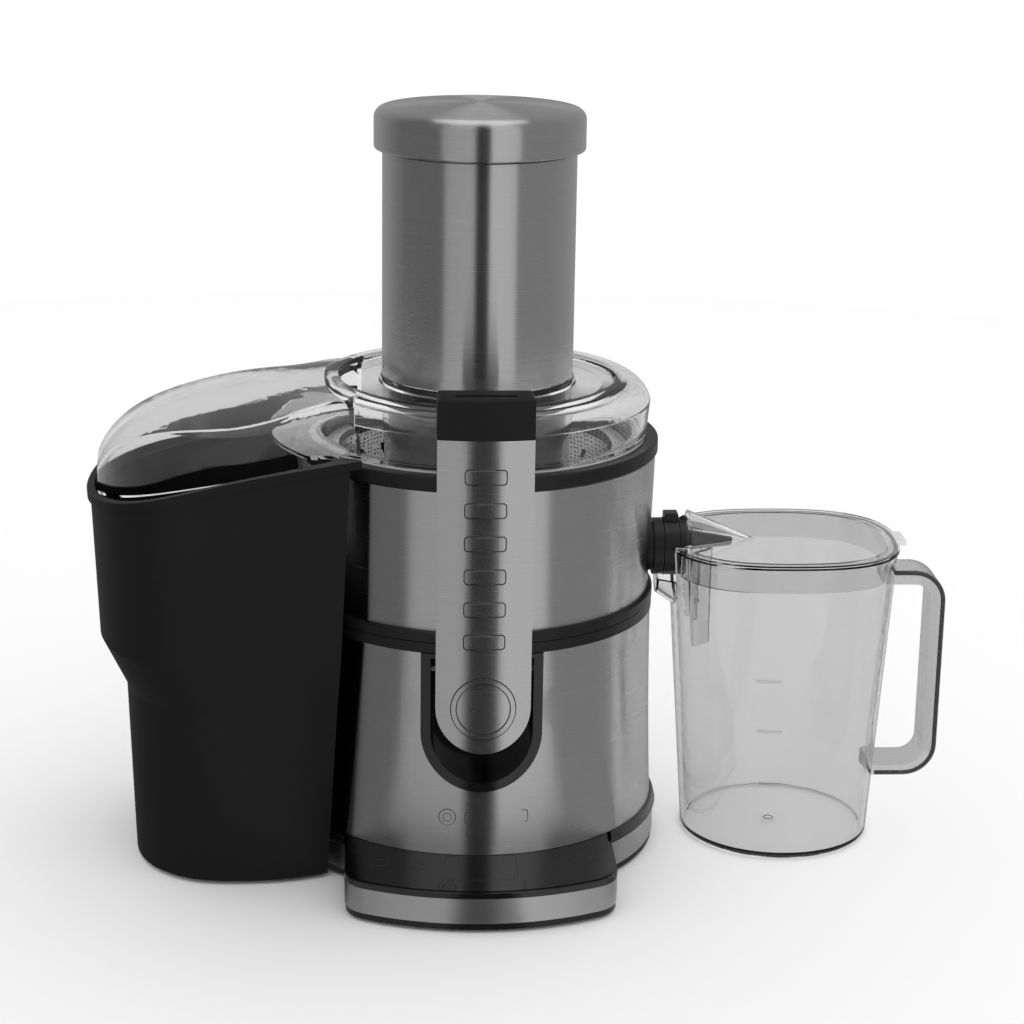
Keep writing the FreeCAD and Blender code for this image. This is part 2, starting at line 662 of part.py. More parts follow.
def arm_face_plate():
    """Brushed cover of the arm, with a raised ring and a column of raised bars."""
    skin = arm_blank(ARM_HALF, ARM_R1 + 0.1, ARM_R1 + 1.4, ARM_Z0, ARM_Z1 - 0.2)
    raised = ring(ARM_R1 + 0.6, ARM_R1 + 1.9, ARM_Z0, ARM_Z1)
    eye_z = ARM_Z0 + ARM_HALF
    eye = Part.makeCylinder(14.8, 40.0, V(0, -115.0, eye_z), BACK)
    eye = eye.cut(Part.makeCylinder(12.8, 40.0, V(0, -115.0, eye_z), BACK))
    marks = [eye]
    for i in range(6):
        z = 132.0 + 15.6 * i
        bar = box(-6.0, 6.0, -115.0, -75.0, z - 3.0, z + 3.0)
        ends = [Part.makeCylinder(3.0, 40.0, V(x, -115.0, z), BACK) for x in (-6.0, 6.0)]
        marks.append(fused(bar, *ends))
    return fused(skin, *[raised.common(mark) for mark in marks])


def arm_hook():
    """Block at the top of the arm whose nose reaches over the lid's shoulder."""
    block = disc(ARM_R1 + 1.5, ARM_Z1, HOOK_Z1).common(
        box(-ARM_HALF, ARM_HALF, -110.0, HOOK_Y, ARM_Z1, HOOK_Z1))
    edges = [e for e in block.Edges if e.BoundBox.ZMin > HOOK_Z1 - 0.1]
    block = block.makeFillet(2.5, edges)
    block = block.cut(lid_outside(0.7, LID_TOP_Z + 1.2))
    return block.cut(box(-14.0, 14.0, -93.5, -90.5, HOOK_Z1 - 3.0, HOOK_Z1 + 1))


def arm_pivot_pin():
    reach = RECESS_HALF + 2.0
    return Part.makeCylinder(PIN_R, 2 * reach, V(-reach, PIVOT_Y, PIVOT_Z), RIGHT)


# ---------------------------------------------------------------- pulp bin

# height, left end, sweep of the inner corner about the drive axis, front wall
BIN_LEVELS = (
    (BIN_FLOOR_Z, -168.0, 40.5, -70.5),
    (88.0, -171.0, 45.0, -74.0),
    (112.0, -183.2, 46.5, -76.0),
    (214.0, -187.5, 50.5, -80.0),
)


def bin_section(z, left, sweep, front, inset):
    """Plan of the bin: a smooth outer curve closed by the concave wall."""
    radius = BIN_INNER_R + inset
    angle = math.radians(sweep - 2.2 * inset)
    corner = (-radius * math.cos(angle), -radius * math.sin(angle))
    half = [
        corner,
        (0.5 * (corner[0] - 106.0), 0.3 * corner[1] + 0.7 * (front + inset)),
        (-112.0, front + inset),
        (left + 32.0, front + 3.0 + inset),
        (left + 10.0 + 0.8 * inset, -50.0 + 0.6 * inset),
        (left + inset, 0.0),
    ]
    points = half + [(x, -y) for x, y in reversed(half[:-1])]
    curve = Part.BSplineCurve()
    curve.interpolate([V(x, y, z) for x, y in points])
    hug = Part.Arc(V(corner[0], -corner[1], z), V(-radius, 0, z), V(corner[0], corner[1], z))
    return Part.Wire([curve.toShape(), hug.toShape()])


def bin_solid(inset, floor):
    wires = []
    for z, left, sweep, front in BIN_LEVELS:
        wires.append(bin_section(max(z, floor), left, sweep, front, inset))
    return Part.makeLoft(wires, True, True)


def pulp_bin():
    """Free-standing bin with a sloping, lipped rim and a saddle cut under the hood."""
    lip = bin_solid(-BIN_LIP, BIN_FLOOR_Z).common(above_rim(-BIN_LIP_HIGH))
    shell = fused(bin_solid(0.0, BIN_FLOOR_Z), lip).cut(bin_solid(BIN_WALL, BIN_FLOOR_Z + 3.0))
    shell = shell.cut(above_rim(0.0))
    saddle = box(-128.0, -40.0, -64.0, 64.0, BIN_SADDLE_Z, 230.0)
    return shell.cut(saddle)


def bin_feet():
    pads = []
    for x, y in ((-150.0, 44.0), (-101.0, 60.0)):
        pads.extend([disc(4.5, 0.0, BIN_FLOOR_Z, x, y), disc(4.5, 0.0, BIN_FLOOR_Z, x, -y)])
    return Part.makeCompound(pads)


# ---------------------------------------------------------------- jug

def oval(z, x, a, b, power):
    """Closed smooth curve between an ellipse (power 2) and a rounded rectangle."""
    points = []
    for i in range(24):
        angle = 2 * math.pi * i / 24
        c = math.cos(angle)
        s = math.sin(angle)
        px = a * math.copysign(abs(c) ** (2.0 / power), c)
        py = b * math.copysign(abs(s) ** (2.0 / power), s)
        points.append(V(x + px, py, z))
    curve = Part.BSplineCurve()
    curve.interpolate(points, PeriodicFlag=True)
    return Part.Wire([curve.toShape()])


def jug_level(z, inset):
    t = min(max(z / JUG_RIM_Z, 0.0), 1.1)
    x = JUG_X + t * (JUG_RIM_X - JUG_X)
    a = JUG_R + t * (JUG_RIM_A - JUG_R) - inset
    b = JUG_R + t * (JUG_RIM_B - JUG_R) - inset
    return oval(z, x, a, b, 2.0 + 0.6 * t)


def jug_solid(inset, z0, z1):
    heights = (z0, 0.5 * (z0 + z1), z1)
    return Part.makeLoft([jug_level(z, inset) for z in heights], True, False)


def beak_solid(inset):
    """Pouring beak: a scoop that narrows towards the juicer."""
    wires = []
    for x, radius, centre in ((89.2 + inset, 8.0 - inset, 132.5), (108.0, 19.0 - inset, 131.0)):
        wires.append(wire_of(
            lambda y, z: V(x, y, z),
            (-radius, JUG_RIM_Z + 4.0 * (inset > 0)), (-radius, centre),
            ((0.0, centre - radius), (radius, centre)), (radius, JUG_RIM_Z + 4.0 * (inset > 0)),
        ))
    return Part.makeLoft(wires, True, True)


def spout_notch():
    return box(80.0, 112.0, -NOTCH_HALF, NOTCH_HALF, NOTCH_Z, 200.0)


def jug():
    foot = Part.makeLoft([jug_level(0.0, 2.0), jug_level(2.0, 0.0)], True, True)
    outer = fused(jug_solid(0.0, 2.0, JUG_RIM_Z), foot, beak_solid(0.0))
    inner = jug_solid(JUG_WALL, 3.0, JUG_RIM_Z + 3.0)
    return outer.cut([inner, beak_solid(1.8), spout_notch()])


def handle_profile(x, z0, z1, corner):
    tuck = ARC_SHARE * corner
    return Part.Face(wire_of(
        side, (180.0, z0), (x - corner, z0), ((x - tuck, z0 + tuck), (x, z0 + corner)),
        (x, z1 - corner), ((x - tuck, z1 - tuck), (x - corner, z1)), (180.0, z1),
    ))


def jug_handle():
    """Flat bar bent to a loop, open towards the jug."""
    loop = handle_profile(HANDLE_X, HANDLE_Z0, HANDLE_Z1, HANDLE_CORNER)
    window = handle_profile(
        HANDLE_X - HANDLE_T, HANDLE_Z0 + HANDLE_T, HANDLE_Z1 - HANDLE_T, HANDLE_CORNER - HANDLE_T)
    bar = loop.cut(window)
    bar.translate(V(0, -HANDLE_HALF, 0))
    return bar.extrude(V(0, 2 * HANDLE_HALF, 0)).cut(jug_solid(-0.05, 0.0, JUG_RIM_Z))


def lid_prism(a_more, z0, z1):
    a = JUG_RIM_A + a_more
    b = JUG_RIM_B + a_more
    wires = [oval(z, JUG_RIM_X, a, b, 2.6) for z in (z0, z1)]
    return Part.makeLoft(wires, True, True)


def jug_lid():
    """Push-fit lid with an inner skirt, a lifting tab, an inlet hood and two froth flaps."""
    plate = lid_prism(0.8, JUG_RIM_Z + 0.3, JUG_RIM_Z + 2.5)
    skirt = lid_prism(-3.9, JUG_RIM_Z - 12.5, JUG_RIM_Z + 0.5).cut(
        lid_prism(-5.7, JUG_RIM_Z - 13.0, JUG_RIM_Z + 0.5))
    tab = box(200.0, 212.5, -9.0, 9.0, JUG_RIM_Z + 0.4, JUG_RIM_Z + 2.4)
    upper = box(104.8, 145.0, -30.0, 30.0, JUG_RIM_Z + 0.4, 180.0)
    hood = Part.makeCone(18.5, 1.6, 40.0, V(101.0, 0, 149.0), RIGHT).common(upper)
    hollow = Part.makeCone(17.2, 0.4, 39.0, V(100.5, 0, 149.0), RIGHT)
    inlet = Part.Face(wire_of(
        plan, (80.0, -19.0), (101.0, -19.0), (101.0, -16.6), (138.0, 0.0),
        (101.0, 16.6), (101.0, 19.0), (80.0, 19.0),
    ))
    inlet.translate(V(0, 0, 130.0))
    mouth = inlet.extrude(V(0, 0, JUG_RIM_Z + 2.6 - 130.0))
    flap_face = Part.Face(wire_of(
        plan, (101.5, -27.5), ((109.5, -23.6), (115.0, -17.0)),
        (113.2, -15.6), ((107.6, -22.0), (101.0, -25.6)),
    ))
    flap_face.translate(V(0, 0, 104.0))
    flap = flap_face.extrude(V(0, 0, JUG_RIM_Z + 1.0 - 104.0))
    corner_cut = box(99.0, 104.0, -40.0, 0.0, 100.0, 108.0)
    flap = flap.cut(corner_cut).common(jug_solid(JUG_WALL + 0.7, 95.0, JUG_RIM_Z + 12.0))
    body = fused(plate, skirt, tab).cut(mouth)
    return fused(body, hood.cut(hollow), *mirrored(flap))


# ---------------------------------------------------------------- build

NODES = {
    "rubber_feet": rubber_feet,
    "base_tub": base_tub,
    "base_screws": base_screws,
    "base_steel_strip": base_steel_strip,
    "base_housing": base_housing,
    "skirt_ring": skirt_ring,
    "lower_steel_sleeve": lower_steel_sleeve,
    "latch_recess": latch_recess,
    "console_housing": console_housing,
    "control_panel": control_panel,
    "control_board": control_board,
    "cord_gland": cord_gland,
    "lower_motor_bracket": lambda: motor_bracket(24.0, 28.0, 24.0, 34.0),
    "upper_motor_bracket": lambda: motor_bracket(113.0, 117.0, 110.5, 119.0),
    "motor_screws": motor_screws,
    "motor_stator": motor_stator,
    "field_coils": field_coils,
    "lower_bearing": lambda: bearing(26.0, 33.0),
    "upper_bearing": lambda: bearing(112.0, 119.0),
    "brush_holders": brush_holders,
    "carbon_brushes": carbon_brushes,
    "shaft_seal": shaft_seal,
    "safety_switch": safety_switch,
    "motor_shaft": motor_shaft,
    "rotor_core": rotor_core,
    "rotor_windings": rotor_windings,
    "commutator": commutator,
    "cooling_fan": cooling_fan,
    "drive_coupling": drive_coupling,
    "juice_bowl": juice_bowl,
    "upper_steel_band": upper_steel_band,
    "spout": spout,
    "drip_stop": drip_stop,
    "basket_hub": basket_hub,
    "filter_basket": filter_basket,
    "basket_rim": basket_rim,
    "grater_disc": grater_disc,
    "lid": lid,
    "lid_gasket": lid_gasket,
    "chute_jacket": chute_jacket,
    "chute_collar": chute_collar,
    "pusher_body": pusher_body,
    "pusher_collar": pusher_collar,
    "pusher_cap": pusher_cap,
    "arm_core": arm_core,
    "arm_face_plate": arm_face_plate,
    "arm_hook": arm_hook,
    "arm_pivot_pin": arm_pivot_pin,
    "pulp_bin": pulp_bin,
    "bin_feet": bin_feet,
    "jug": jug,
    "jug_handle": jug_handle,
    "jug_lid": jug_lid,
}

os.makedirs("parts", exist_ok=True)
for node_name, make in NODES.items():
    solid = make()
    print(node_name, len(solid.Solids), round(solid.Volume / 1000.0, 2), solid.isValid())
    export(node_name, solid)
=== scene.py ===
import json
import math

import bmesh
import bpy
from mathutils import Matrix, Vector


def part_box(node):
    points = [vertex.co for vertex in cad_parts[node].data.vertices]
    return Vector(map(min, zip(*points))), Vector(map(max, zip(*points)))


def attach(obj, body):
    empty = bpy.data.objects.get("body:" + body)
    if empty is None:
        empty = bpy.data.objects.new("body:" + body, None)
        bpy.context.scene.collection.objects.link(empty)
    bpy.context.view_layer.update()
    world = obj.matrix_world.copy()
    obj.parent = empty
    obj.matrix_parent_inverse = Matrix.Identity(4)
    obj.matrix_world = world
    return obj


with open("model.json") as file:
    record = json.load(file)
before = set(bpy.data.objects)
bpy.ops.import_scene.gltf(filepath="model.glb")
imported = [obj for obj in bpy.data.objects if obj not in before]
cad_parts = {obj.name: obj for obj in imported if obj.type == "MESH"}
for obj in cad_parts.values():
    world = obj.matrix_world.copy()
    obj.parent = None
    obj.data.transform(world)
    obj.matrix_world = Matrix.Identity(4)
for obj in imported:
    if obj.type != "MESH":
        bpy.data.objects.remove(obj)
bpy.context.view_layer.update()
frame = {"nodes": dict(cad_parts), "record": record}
NODES = frame["nodes"]
MM = 0.001
FRONT = Vector((0.0, -1.0, 0.0))
UP = Vector((0.0, 0.0, 1.0))


# ---------------------------------------------------------------- camera

CAMERA_YAW = math.radians(3.47)      # turned from +Y towards +X
CAMERA_TILT = math.radians(16.23)    # looking down
CAMERA_ROLL = math.radians(0.9)
CAMERA_PLACE = Vector((-0.0539, -1.182, 0.510))
LENS = 88.4
SENSOR = 36.0


def make_camera():
    data = bpy.data.cameras.new("camera")
    data.lens = LENS
    data.sensor_width = SENSOR
    camera = bpy.data.objects.new("camera", data)
    bpy.context.collection.objects.link(camera)
    forward = Vector((
        math.sin(CAMERA_YAW) * math.cos(CAMERA_TILT),
        math.cos(CAMERA_YAW) * math.cos(CAMERA_TILT),
        -math.sin(CAMERA_TILT),
    ))
    turn = forward.to_track_quat("-Z", "Y").to_matrix().to_4x4()
    roll = Matrix.Rotation(CAMERA_ROLL, 4, "Z")
    camera.matrix_world = Matrix.Translation(CAMERA_PLACE) @ turn @ roll
    bpy.context.scene.camera = camera


# ---------------------------------------------------------------- materials

def new_material(name, color, roughness, metallic=0.0):
    """Material with its node tree and its shader, ready for procedural inputs."""
    mat = bpy.data.materials.new(name)
    mat.use_nodes = True
    shader = mat.node_tree.nodes["Principled BSDF"]
    shader.inputs["Base Color"].default_value = (*color, 1.0)
    shader.inputs["Roughness"].default_value = roughness
    shader.inputs["Metallic"].default_value = metallic
    return mat, mat.node_tree, shader


def coordinates(tree, scale):
    """Object coordinates, stretched along each axis."""
    source = tree.nodes.new("ShaderNodeTexCoord")
    mapping = tree.nodes.new("ShaderNodeMapping")
    mapping.inputs["Scale"].default_value = scale
    tree.links.new(source.outputs["Object"], mapping.inputs["Vector"])
    return mapping.outputs["Vector"]


def noise(tree, scale, detail=2.0, stretch=(1.0, 1.0, 1.0)):
    node = tree.nodes.new("ShaderNodeTexNoise")
    node.inputs["Scale"].default_value = scale
    node.inputs["Detail"].default_value = detail
    tree.links.new(coordinates(tree, stretch), node.inputs["Vector"])
    return node.outputs["Fac"]


def ramp(tree, value, low, high):
    """Maps a 0 to 1 value to a range."""
    node = tree.nodes.new("ShaderNodeMapRange")
    node.inputs["To Min"].default_value = low
    node.inputs["To Max"].default_value = high
    tree.links.new(value, node.inputs["Value"])
    return node.outputs["Result"]


def tint(tree, value, dark, light):
    """Colour between two shades, by a value."""
    node = tree.nodes.new("ShaderNodeMix")
    node.data_type = "RGBA"
    node.inputs["A"].default_value = (*dark, 1.0)
    node.inputs["B"].default_value = (*light, 1.0)
    tree.links.new(value, node.inputs["Factor"])
    return node.outputs["Result"]


def bump(tree, shader, value, strength, distance):
    """Relief from a value, distance in metres."""
    node = tree.nodes.new("ShaderNodeBump")
    node.inputs["Strength"].default_value = strength
    node.inputs["Distance"].default_value = distance
    tree.links.new(value, node.inputs["Height"])
    tree.links.new(node.outputs["Normal"], shader.inputs["Normal"])


BRUSH_STRETCH = (3.0, 3.0, 420.0)     # fine and level lines
QUARTER_TURN = 0.25


def brushed_steel(name, grey, roughness):
    """Stainless steel brushed round the drive axis, so that highlights run up and down."""
    mat, tree, shader = new_material(name, (grey, grey, grey), roughness, 1.0)
    shader.inputs["Anisotropic"].default_value = 1.0
    shader.inputs["Anisotropic Rotation"].default_value = QUARTER_TURN
    tangent = tree.nodes.new("ShaderNodeTangent")
    tangent.direction_type = "RADIAL"
    tangent.axis = "Z"
    tree.links.new(tangent.outputs["Tangent"], shader.inputs["Tangent"])
    lines = noise(tree, 6.0, 6.0, BRUSH_STRETCH)
    shade = tint(tree, lines, (grey * 0.92,) * 3, (min(1.0, grey * 1.06),) * 3)
    tree.links.new(shade, shader.inputs["Base Color"])
    rough = ramp(tree, lines, roughness - 0.02, roughness + 0.03)
    tree.links.new(rough, shader.inputs["Roughness"])
    bump(tree, shader, lines, 0.004, 0.00003)
    return mat


def plastic(name, grey, roughness, grain=1600.0, depth=0.00003, coat=0.0, gloss=0.5):
    """Moulded plastic with a fine grain and slight shade variation."""
    mat, tree, shader = new_material(name, (grey, grey, grey * 1.02), roughness)
    shader.inputs["Specular IOR Level"].default_value = gloss
    shader.inputs["Coat Weight"].default_value = coat
    shader.inputs["Coat Roughness"].default_value = 0.04
    fine = noise(tree, grain, 3.0)
    broad = noise(tree, 14.0, 2.0)
    shade = tint(tree, broad, (grey * 0.85,) * 3, (grey * 1.2,) * 3)
    tree.links.new(shade, shader.inputs["Base Color"])
    rough = ramp(tree, fine, roughness - 0.05, roughness + 0.08)
    tree.links.new(rough, shader.inputs["Roughness"])
    bump(tree, shader, fine, 0.25, depth)
    return mat


def clear_plastic(name, grey, roughness=0.02):
    """Clear moulded plastic with a faint waviness."""
    mat, tree, shader = new_material(name, (grey, grey, grey), roughness)
    shader.inputs["Transmission Weight"].default_value = 1.0
    shader.inputs["IOR"].default_value = 1.49
    broad = noise(tree, 9.0, 1.0)
    shade = tint(tree, broad, (grey * 0.97,) * 3, (min(1.0, grey * 1.03),) * 3)
    tree.links.new(shade, shader.inputs["Base Color"])
    bump(tree, shader, broad, 0.05, 0.0004)
    return mat


def metal(name, color, roughness, lines=300.0):
    """Plain metal with a fine mottle of a given scale."""
    mat, tree, shader = new_material(name, color, roughness, 1.0)
    value = noise(tree, lines, 3.0)
    dark = tuple(c * 0.82 for c in color)
    tree.links.new(tint(tree, value, dark, color), shader.inputs["Base Color"])
    rough = ramp(tree, value, roughness - 0.06, roughness + 0.08)
    tree.links.new(rough, shader.inputs["Roughness"])
    bump(tree, shader, value, 0.2, 0.00004)
    return mat


HOLE_PITCH_SCALE = 620.0               # holes per metre
HOLE_EDGE = (0.32, 0.40)               # share of the pitch over which a hole ends


def perforated(name, grey, roughness):
    """Steel sheet etched all over with fine round holes, which are not cut but painted near black as the
    shade seen through them.
    """
    mat, tree, shader = new_material(name, (grey, grey, grey), roughness, 1.0)
    holes = tree.nodes.new("ShaderNodeTexVoronoi")
    holes.inputs["Scale"].default_value = HOLE_PITCH_SCALE
    holes.inputs["Randomness"].default_value = 0.15
    tree.links.new(coordinates(tree, (1.0, 1.0, 1.0)), holes.inputs["Vector"])
    edge = tree.nodes.new("ShaderNodeMapRange")
    edge.inputs["From Min"].default_value = HOLE_EDGE[0]
    edge.inputs["From Max"].default_value = HOLE_EDGE[1]
    tree.links.new(holes.outputs["Distance"], edge.inputs["Value"])
    solid = edge.outputs["Result"]
    # holes take a near-black colour: painted shade standing in for the dark seen through open holes
    tree.links.new(tint(tree, solid, (0.02,) * 3, (grey,) * 3), shader.inputs["Base Color"])
    tree.links.new(ramp(tree, solid, 0.8, roughness), shader.inputs["Roughness"])
    bump(tree, shader, solid, 0.5, 0.0002)
    return mat


MATERIALS = {
    "rubber": plastic("rubber", 0.02, 0.75, 900.0, 0.00006),
    "black_plastic": plastic("black_plastic", 0.007, 0.34, gloss=0.4),
    "matte_black": plastic("matte_black", 0.006, 0.5, 1900.0, 0.00004, gloss=0.3),
    "gloss_black": plastic("gloss_black", 0.004, 0.14, 500.0, 0.000005, 0.4),
    "panel_gloss": plastic("panel_gloss", 0.004, 0.1, 300.0, 0.000003, 0.5),
    "brushed_steel": brushed_steel("brushed_steel", 0.66, 0.26),
    "polished_steel": brushed_steel("polished_steel", 0.7, 0.42),
    "mesh_steel": perforated("mesh_steel", 0.55, 0.3),
    "zinc_steel": metal("zinc_steel", (0.55, 0.55, 0.56), 0.32),
    "cast_alloy": metal("cast_alloy", (0.5, 0.5, 0.51), 0.45, 180.0),
    "lamination": metal("lamination", (0.25, 0.25, 0.26), 0.4, 500.0),
    "copper": metal("copper", (0.72, 0.36, 0.2), 0.35, 400.0),
    "brass": metal("brass", (0.75, 0.6, 0.3), 0.3),
    "carbon": plastic("carbon", 0.03, 0.6),
    "circuit_board": plastic("circuit_board", 0.05, 0.4),
    "silicone": plastic("silicone", 0.55, 0.4),
    "smoky_clear": clear_plastic("smoky_clear", 0.8),
    "clear": clear_plastic("clear", 0.77),
    "clear_thick": clear_plastic("clear_thick", 0.45),
    # near-black beads inside clear parts: painted shade standing in for their dark refracted edges
    "painted_edge_shade": plastic("painted_edge_shade", 0.035, 0.25, 500.0, 0.000005, 0.3),
    "panel_mark": plastic("panel_mark", 0.03, 0.3, 700.0, 0.000005, gloss=0.4),
    # darker steel for the badge outlines: painted shade along its pressed edges
    "steel_painted_shade": metal("steel_painted_shade", (0.22, 0.22, 0.22), 0.35),
}
CLEAR_SLOTS = ("smoky_clear", "clear")
THICK_CLEAR = ("jug_handle",)          # nodes thick enough to look darker


def paint_nodes():
    """Every CAD node takes the material of its slot, and light passes freely through clear ones."""
    slots = {part["node"]: part["material_slot"] for part in frame["record"]["subparts"]}
    for name, node in NODES.items():
        node.data.materials.clear()
        shade = "clear_thick" if name in THICK_CLEAR else slots[name]
        node.data.materials.append(MATERIALS[shade])
        if slots[name] in CLEAR_SLOTS:
            node.visible_shadow = False
            node.visible_diffuse = False


# ---------------------------------------------------------------- studio

def circle(radius, count=48):
    """Points of a circle about the origin, anticlockwise."""
    turn = 2.0 * math.pi / count
    return [(radius * math.cos(turn * i), radius * math.sin(turn * i)) for i in range(count)]


def stage_object(name, mesh):
    """Part of the studio, which isn't part of the object."""
    obj = bpy.data.objects.new(name, mesh)
    bpy.context.collection.objects.link(obj)
    return obj


def disc_mesh(name, radius, height, sides=96):
    mesh = bpy.data.meshes.new(name)
    work = bmesh.new()
    bmesh.ops.create_circle(work, cap_ends=True, segments=sides, radius=radius,
                            matrix=Matrix.Translation((0, 0, height)))
    work.to_mesh(mesh)
    work.free()
    return mesh


def tent_mesh(name, radius, height, sides=96):
    """Open upright drum round the object."""
    mesh = bpy.data.meshes.new(name)
    work = bmesh.new()
    rings = []
    for z in (0.0, height):
        rings.append([work.verts.new((x, y, z)) for x, y in circle(radius, sides)])
    for i in range(sides):
        j = (i + 1) % sides
        work.faces.new((rings[0][i], rings[0][j], rings[1][j], rings[1][i]))
    work.to_mesh(mesh)
    work.free()
    return mesh


# the studio as gloss sees it: degrees from the front towards +X, and brightness
TENT_STOPS = (
    (-180, 0.34), (-140, 0.32), (-98, 0.16), (-46, 0.16), (-41, 0.40), (-9, 0.44), (-5, 0.03),
    (8, 0.04), (11, 0.62), (40, 0.58), (44, 0.26), (92, 0.26), (138, 0.33), (180, 0.34),
)
TENT_GAIN = 1.0
TENT_RADIUS, TENT_HEIGHT = 1.4, 3.0
FLOOR_RADIUS = 40.0
FLOOR_Z, TENT_FLOOR_Z = -0.3 * MM, -0.8 * MM    # clear of the jug's underside
FLOOR_SHADES = (0.915, 0.925)
WORLD_LIGHT = 1.12


def tent_material(gain):
    """Emission that changes with the direction round the drive axis: soft boxes and dark flags."""
    mat = bpy.data.materials.new("tent")
    mat.use_nodes = True
    tree = mat.node_tree
    tree.nodes.clear()
    source = tree.nodes.new("ShaderNodeTexCoord")
    split = tree.nodes.new("ShaderNodeSeparateXYZ")
    tree.links.new(source.outputs["Object"], split.inputs["Vector"])
    back = tree.nodes.new("ShaderNodeMath")
    back.operation = "MULTIPLY"
    back.inputs[1].default_value = -1.0
    tree.links.new(split.outputs["Y"], back.inputs[0])
    angle = tree.nodes.new("ShaderNodeMath")
    angle.operation = "ARCTAN2"
    tree.links.new(split.outputs["X"], angle.inputs[0])
    tree.links.new(back.outputs["Value"], angle.inputs[1])
    turn = tree.nodes.new("ShaderNodeMapRange")
    turn.inputs["From Min"].default_value = -math.pi
    turn.inputs["From Max"].default_value = math.pi
    tree.links.new(angle.outputs["Value"], turn.inputs["Value"])
    bands = tree.nodes.new("ShaderNodeValToRGB")
    bands.color_ramp.interpolation = "LINEAR"
    stops = bands.color_ramp.elements
    while len(stops) < len(TENT_STOPS):
        stops.new(0.5)
    for stop, (degrees, level) in zip(stops, TENT_STOPS):
        stop.position = (degrees + 180.0) / 360.0
        stop.color = (level, level, level, 1.0)
    tree.links.new(turn.outputs["Result"], bands.inputs["Fac"])
    glow = tree.nodes.new("ShaderNodeEmission")
    glow.inputs["Strength"].default_value = gain
    tree.links.new(bands.outputs["Color"], glow.inputs["Color"])
    out = tree.nodes.new("ShaderNodeOutputMaterial")
    tree.links.new(glow.outputs["Emission"], out.inputs["Surface"])
    return mat


def floor_paint():
    dark, light = FLOOR_SHADES
    mat, tree, shader = new_material("floor_paint", (light,) * 3, 0.8)
    shade = tint(tree, noise(tree, 3.0, 3.0), (dark,) * 3, (light,) * 3)
    tree.links.new(shade, shader.inputs["Base Color"])
    return mat


def only_in_gloss(obj):
    """Hides an object from everything but glossy rays."""
    obj.visible_camera = False
    obj.visible_diffuse = False
    obj.visible_transmission = False
    obj.visible_shadow = False
    obj.visible_volume_scatter = False


def make_studio():
    floor = stage_object("floor", disc_mesh("floor", FLOOR_RADIUS, FLOOR_Z))
    floor.data.materials.append(floor_paint())
    floor.visible_glossy = False
    glow = tent_material(TENT_GAIN)
    shells = (
        ("tent_wall", tent_mesh("tent_wall", TENT_RADIUS, TENT_HEIGHT)),
        ("tent_floor", disc_mesh("tent_floor", TENT_RADIUS, TENT_FLOOR_Z)),
    )
    for name, mesh in shells:
        shell = stage_object(name, mesh)
        shell.data.materials.append(glow)
        only_in_gloss(shell)
    world = bpy.data.worlds.new("studio")
    world.use_nodes = True
    sky = world.node_tree.nodes["Background"]
    sky.inputs["Color"].default_value = (1.0, 1.0, 1.0, 1.0)
    sky.inputs["Strength"].default_value = WORLD_LIGHT
    bpy.context.scene.world = world
    bpy.context.scene.view_settings.view_transform = "Standard"


# ---------------------------------------------------------------- small pieces

def place_piece(name, work, material, body):
    """Turns a bmesh into a smooth shaded piece that rides on a body."""
    mesh = bpy.data.meshes.new(name)
    bmesh.ops.recalc_face_normals(work, faces=work.faces)
    work.to_mesh(mesh)
    work.free()
    mesh.shade_smooth()
    mesh.materials.append(MATERIALS[material])
    obj = bpy.data.objects.new(name, mesh)
    bpy.context.collection.objects.link(obj)
    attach(obj, body)
    return obj


def tube_ring(work, point, along, normal, radius, sides):
    across = along.normalized().cross(normal).normalized()
    ring = []
    for k in range(sides):
        angle = 2.0 * math.pi * k / sides
        out = math.cos(angle) * normal + math.sin(angle) * across
        ring.append(work.verts.new(point + radius * out))
    return ring


def bridge(work, here, there):
    for k in range(len(here)):
        j = (k + 1) % len(here)
        work.faces.new((here[k], here[j], there[j], there[k]))


def tube_loop(work, points, normals, radius, sides=8):
    """Closed tube through points that lie on a surface with the given normals."""
    rings = []
    count = len(points)
    for i, (point, normal) in enumerate(zip(points, normals)):
        along = points[(i + 1) % count] - points[i - 1]
        rings.append(tube_ring(work, point, along, normal, radius, sides))
    for i in range(count):
        bridge(work, rings[i], rings[(i + 1) % count])


def tube_path(work, points, normals, radius, sides=8):
    """Tube with closed ends along an open path."""
    rings = []
    last = len(points) - 1
    for i, (point, normal) in enumerate(zip(points, normals)):
        along = points[min(i + 1, last)] - points[max(i - 1, 0)]
        rings.append(tube_ring(work, point, along, normal, radius, sides))
    for here, there in zip(rings, rings[1:]):
        bridge(work, here, there)
    work.faces.new(rings[0])
    work.faces.new(list(reversed(rings[-1])))


def rounded_outline(width, height, corner, steps=6):
    """Points of a rounded rectangle about the origin, anticlockwise."""
    points = []
    centres = ((1, 1, 0), (-1, 1, 90), (-1, -1, 180), (1, -1, 270))
    for sx, sy, first in centres:
        for i in range(steps + 1):
            angle = math.radians(first + 90.0 * i / steps)
            x = sx * (0.5 * width - corner) + corner * math.cos(angle)
            y = sy * (0.5 * height - corner) + corner * math.sin(angle)
            points.append((x, y))
    return points


def on_drum(across, height, radius):
    """Point and outward normal on the upright drum about the drive axis, measured from the front."""
    angle = across / radius
    normal = Vector((math.sin(angle), -math.cos(angle), 0.0))
    return Vector((0.0, 0.0, height)) + radius * normal, normal


def drum_loop(work, outline, z, radius, thick):
    """Bead on an upright drum, from an outline in distance across the front and height."""
    points = []
    normals = []
    for x, y in outline:
        point, normal = on_drum(x, z + y, radius)
        points.append(point)
        normals.append(normal)
    tube_loop(work, points, normals, thick)


